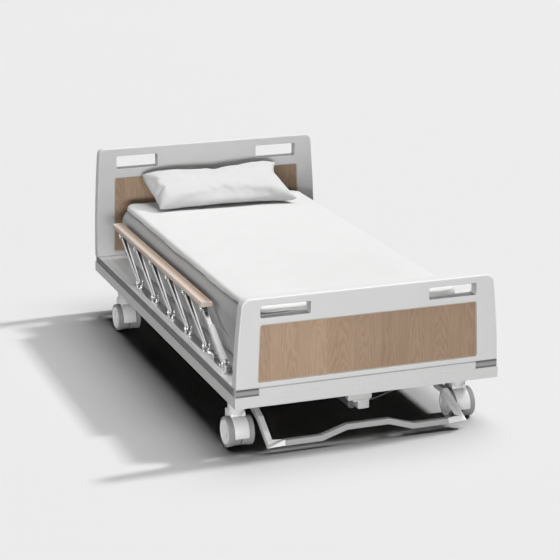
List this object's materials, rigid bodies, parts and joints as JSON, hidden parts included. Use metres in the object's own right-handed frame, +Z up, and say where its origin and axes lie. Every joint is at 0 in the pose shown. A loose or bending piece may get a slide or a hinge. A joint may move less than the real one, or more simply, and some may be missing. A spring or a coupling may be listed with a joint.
{
  "type": "adjustable hospital bed",
  "caption": "Height-adjustable care bed with wood-panel end boards, folding side rails, hinged platform, mattress and pillow on twin-wheel casters.",
  "frame": {"origin": "on the floor under the centre of the bed's length and width", "axes": "+Z up, +Y towards the head end along the bed, +X to the right seen from the foot end"},
  "size_m": [1.14, 2.13, 0.826],
  "materials": {
    "white_paint": "satin",
    "caster_hood": "satin",
    "tyre": "matte",
    "bumper": "matte",
    "ledge": "satin",
    "board_shell": "satin",
    "wood_panel": "satin",
    "rail_wood": "satin",
    "rail_post": "polished",
    "lower_rail": "satin",
    "grey_plastic": "matte",
    "platform_plastic": "matte",
    "actuator_case": "matte",
    "actuator_rod": "polished",
    "foot_bar": "matte",
    "bed_linen": "matte",
    "pillow_cotton": "matte"
  },
  "bodies": {
    "chassis": {"chassis": "white_paint", "lift_actuator": "actuator_case"},
    "brake": {"brake_frame": "white_paint", "brake_foot_bar": "foot_bar"},
    "lift_arm_foot": {"lift_arm_foot": "white_paint"},
    "lift_arm_head": {"lift_arm_head": "white_paint"},
    "lift_rod": {"lift_actuator_rod": "actuator_rod"},
    "upper_frame": {"upper_frame": "white_paint", "side_ledge_left": "ledge", "side_ledge_right": "ledge", "bumper_strip_left": "bumper", "bumper_strip_right": "bumper", "corner_bumper_foot_left": "bumper", "corner_bumper_foot_right": "bumper", "corner_bumper_head_left": "bumper", "corner_bumper_head_right": "bumper", "headboard": "board_shell", "headboard_panel": "wood_panel", "footboard": "board_shell", "footboard_panel": "wood_panel", "seat_platform": "platform_plastic", "mattress_seat": "bed_linen", "back_actuator": "actuator_case", "knee_actuator": "actuator_case", "control_box": "actuator_case", "lower_rail_left": "lower_rail", "lower_rail_right": "lower_rail"},
    "back_section": {"back_platform": "platform_plastic", "mattress_back": "bed_linen", "pillow": "pillow_cotton"},
    "thigh_section": {"thigh_platform": "platform_plastic", "mattress_thigh": "bed_linen"},
    "leg_section": {"leg_platform": "platform_plastic", "mattress_leg": "bed_linen"},
    "back_rod": {"back_actuator_rod": "actuator_rod"},
    "knee_rod": {"knee_actuator_rod": "actuator_rod"},
    "caster_foot_left": {"caster_hood_foot_left": "caster_hood"},
    "wheels_foot_left": {"caster_wheels_foot_left": "tyre"},
    "caster_foot_right": {"caster_hood_foot_right": "caster_hood"},
    "wheels_foot_right": {"caster_wheels_foot_right": "tyre"},
    "caster_head_left": {"caster_hood_head_left": "caster_hood"},
    "wheels_head_left": {"caster_wheels_head_left": "tyre"},
    "caster_head_right": {"caster_hood_head_right": "caster_hood"},
    "wheels_head_right": {"caster_wheels_head_right": "tyre"},
    "post_left_1": {"rail_post_left_1": "rail_post"},
    "post_left_2": {"rail_post_left_2": "rail_post"},
    "post_left_3": {"rail_post_left_3": "rail_post"},
    "post_left_4": {"rail_post_left_4": "rail_post"},
    "post_left_5": {"rail_post_left_5": "rail_post"},
    "post_left_6": {"rail_post_left_6": "rail_post"},
    "top_rail_left": {"top_rail_left": "rail_wood"},
    "rail_latch_left": {"rail_release_left": "grey_plastic"},
    "post_right_1": {"rail_post_right_1": "rail_post"},
    "post_right_2": {"rail_post_right_2": "rail_post"},
    "post_right_3": {"rail_post_right_3": "rail_post"},
    "post_right_4": {"rail_post_right_4": "rail_post"},
    "post_right_5": {"rail_post_right_5": "rail_post"},
    "post_right_6": {"rail_post_right_6": "rail_post"},
    "top_rail_right": {"top_rail_right": "rail_wood"},
    "rail_latch_right": {"rail_release_right": "grey_plastic"}
  },
  "joints": [
    {"name": "swivel_foot_left", "type": "hinge", "parent": "chassis", "child": "caster_foot_left", "pos_m": [-0.507, -0.897, 0.15], "axis": [0, 0, 1], "continuous": true},
    {"name": "roll_foot_left", "type": "hinge", "parent": "caster_foot_left", "child": "wheels_foot_left", "pos_m": [-0.507, -0.905, 0.0625], "axis": [1, 0, 0], "continuous": true},
    {"name": "swivel_foot_right", "type": "hinge", "parent": "chassis", "child": "caster_foot_right", "pos_m": [0.468, -0.897, 0.15], "axis": [0, 0, 1], "continuous": true},
    {"name": "roll_foot_right", "type": "hinge", "parent": "caster_foot_right", "child": "wheels_foot_right", "pos_m": [0.468, -0.905, 0.0625], "axis": [1, 0, 0], "continuous": true},
    {"name": "swivel_head_left", "type": "hinge", "parent": "chassis", "child": "caster_head_left", "pos_m": [-0.507, 0.743, 0.15], "axis": [0, 0, 1], "continuous": true},
    {"name": "roll_head_left", "type": "hinge", "parent": "caster_head_left", "child": "wheels_head_left", "pos_m": [-0.507, 0.735, 0.0625], "axis": [1, 0, 0], "continuous": true},
    {"name": "swivel_head_right", "type": "hinge", "parent": "chassis", "child": "caster_head_right", "pos_m": [0.468, 0.743, 0.15], "axis": [0, 0, 1], "continuous": true},
    {"name": "roll_head_right", "type": "hinge", "parent": "caster_head_right", "child": "wheels_head_right", "pos_m": [0.468, 0.735, 0.0625], "axis": [1, 0, 0], "continuous": true},
    {"name": "brake_bar", "type": "hinge", "parent": "chassis", "child": "brake", "pos_m": [0, -0.8, 0.172], "axis": [1, 0, 0], "range_deg": [-3, 5]},
    {"name": "height_lift", "type": "hinge", "parent": "chassis", "child": "lift_arm_foot", "pos_m": [0, -0.62, 0.175], "axis": [1, 0, 0], "range_deg": [0, 52]},
    {"name": "height_level", "type": "hinge", "parent": "lift_arm_foot", "child": "upper_frame", "pos_m": [0, -0.20429, 0.2349], "axis": [1, 0, 0], "range_deg": [-52, 0]},
    {"name": "height_lift_head", "type": "hinge", "parent": "chassis", "child": "lift_arm_head", "pos_m": [0, 0.18, 0.175], "axis": [1, 0, 0], "range_deg": [0, 52]},
    {"name": "height_rod", "type": "slide", "parent": "chassis", "child": "lift_rod", "axis": [0, 1, 0], "range_m": [0, 0.06596]},
    {"name": "backrest", "type": "hinge", "parent": "upper_frame", "child": "back_section", "pos_m": [0, 0.18, 0.358], "axis": [1, 0, 0], "range_deg": [0, 65]},
    {"name": "backrest_rod", "type": "slide", "parent": "upper_frame", "child": "back_rod", "axis": [0, 1, 0], "range_m": [0, 0.13775]},
    {"name": "knee_rest", "type": "hinge", "parent": "upper_frame", "child": "thigh_section", "pos_m": [0, -0.1, 0.358], "axis": [-1, 0, 0], "range_deg": [0, 30]},
    {"name": "leg_fold", "type": "hinge", "parent": "thigh_section", "child": "leg_section", "pos_m": [0, -0.4, 0.358], "axis": [-1, 0, 0], "range_deg": [-41, 0]},
    {"name": "knee_rod", "type": "slide", "parent": "upper_frame", "child": "knee_rod", "axis": [0, -1, 0], "range_m": [0, 0.06646]},
    {"name": "rail_left", "type": "hinge", "parent": "upper_frame", "child": "post_left_1", "pos_m": [-0.527, 0.42, 0.32], "axis": [1, 0, 0], "range_deg": [-21, 51]},
    {"name": "rail_left_post_2", "type": "hinge", "parent": "upper_frame", "child": "post_left_2", "pos_m": [-0.527, 0.172, 0.32], "axis": [1, 0, 0], "range_deg": [-21, 51]},
    {"name": "rail_left_post_3", "type": "hinge", "parent": "upper_frame", "child": "post_left_3", "pos_m": [-0.527, -0.076, 0.32], "axis": [1, 0, 0], "range_deg": [-21, 51]},
    {"name": "rail_left_post_4", "type": "hinge", "parent": "upper_frame", "child": "post_left_4", "pos_m": [-0.527, -0.324, 0.32], "axis": [1, 0, 0], "range_deg": [-21, 51]},
    {"name": "rail_left_post_5", "type": "hinge", "parent": "upper_frame", "child": "post_left_5", "pos_m": [-0.527, -0.572, 0.32], "axis": [1, 0, 0], "range_deg": [-21, 51]},
    {"name": "rail_left_post_6", "type": "hinge", "parent": "upper_frame", "child": "post_left_6", "pos_m": [-0.527, -0.82, 0.32], "axis": [1, 0, 0], "range_deg": [-21, 51]},
    {"name": "rail_left_top", "type": "hinge", "parent": "post_left_1", "child": "top_rail_left", "pos_m": [-0.527, 0.69638, 0.4732], "axis": [1, 0, 0], "range_deg": [-51, 21]},
    {"name": "rail_left_latch", "type": "slide", "parent": "upper_frame", "child": "rail_latch_left", "axis": [0, 1, 0], "range_m": [-0.006, 0], "stiffness_N_per_m": 400},
    {"name": "rail_right", "type": "hinge", "parent": "upper_frame", "child": "post_right_1", "pos_m": [0.527, 0.42, 0.32], "axis": [1, 0, 0], "range_deg": [0, 72]},
    {"name": "rail_right_post_2", "type": "hinge", "parent": "upper_frame", "child": "post_right_2", "pos_m": [0.527, 0.172, 0.32], "axis": [1, 0, 0], "range_deg": [0, 72]},
    {"name": "rail_right_post_3", "type": "hinge", "parent": "upper_frame", "child": "post_right_3", "pos_m": [0.527, -0.076, 0.32], "axis": [1, 0, 0], "range_deg": [0, 72]},
    {"name": "rail_right_post_4", "type": "hinge", "parent": "upper_frame", "child": "post_right_4", "pos_m": [0.527, -0.324, 0.32], "axis": [1, 0, 0], "range_deg": [0, 72]},
    {"name": "rail_right_post_5", "type": "hinge", "parent": "upper_frame", "child": "post_right_5", "pos_m": [0.527, -0.572, 0.32], "axis": [1, 0, 0], "range_deg": [0, 72]},
    {"name": "rail_right_post_6", "type": "hinge", "parent": "upper_frame", "child": "post_right_6", "pos_m": [0.527, -0.82, 0.32], "axis": [1, 0, 0], "range_deg": [0, 72]},
    {"name": "rail_right_top", "type": "hinge", "parent": "post_right_1", "child": "top_rail_right", "pos_m": [0.527, 0.73293, 0.36398], "axis": [1, 0, 0], "range_deg": [-72, 0]},
    {"name": "rail_right_latch", "type": "slide", "parent": "upper_frame", "child": "rail_latch_right", "axis": [0, 1, 0], "range_m": [-0.006, 0], "stiffness_N_per_m": 400}
  ],
  "couplings": [
    {"joint": "height_level", "follows": "height_lift", "ratio": -1},
    {"joint": "height_lift_head", "follows": "height_lift", "ratio": 1},
    {"joint": "height_rod", "follows": "height_lift", "m_per_rad": 0.072452},
    {"joint": "backrest_rod", "follows": "backrest", "m_per_rad": 0.12125},
    {"joint": "leg_fold", "follows": "knee_rest", "ratio": -1.35},
    {"joint": "knee_rod", "follows": "knee_rest", "m_per_rad": 0.12654},
    {"joint": "rail_left_post_2", "follows": "rail_left", "ratio": 1},
    {"joint": "rail_left_post_3", "follows": "rail_left", "ratio": 1},
    {"joint": "rail_left_post_4", "follows": "rail_left", "ratio": 1},
    {"joint": "rail_left_post_5", "follows": "rail_left", "ratio": 1},
    {"joint": "rail_left_post_6", "follows": "rail_left", "ratio": 1},
    {"joint": "rail_left_top", "follows": "rail_left", "ratio": -1},
    {"joint": "rail_right_post_2", "follows": "rail_right", "ratio": 1},
    {"joint": "rail_right_post_3", "follows": "rail_right", "ratio": 1},
    {"joint": "rail_right_post_4", "follows": "rail_right", "ratio": 1},
    {"joint": "rail_right_post_5", "follows": "rail_right", "ratio": 1},
    {"joint": "rail_right_post_6", "follows": "rail_right", "ratio": 1},
    {"joint": "rail_right_top", "follows": "rail_right", "ratio": -1}
  ]
}
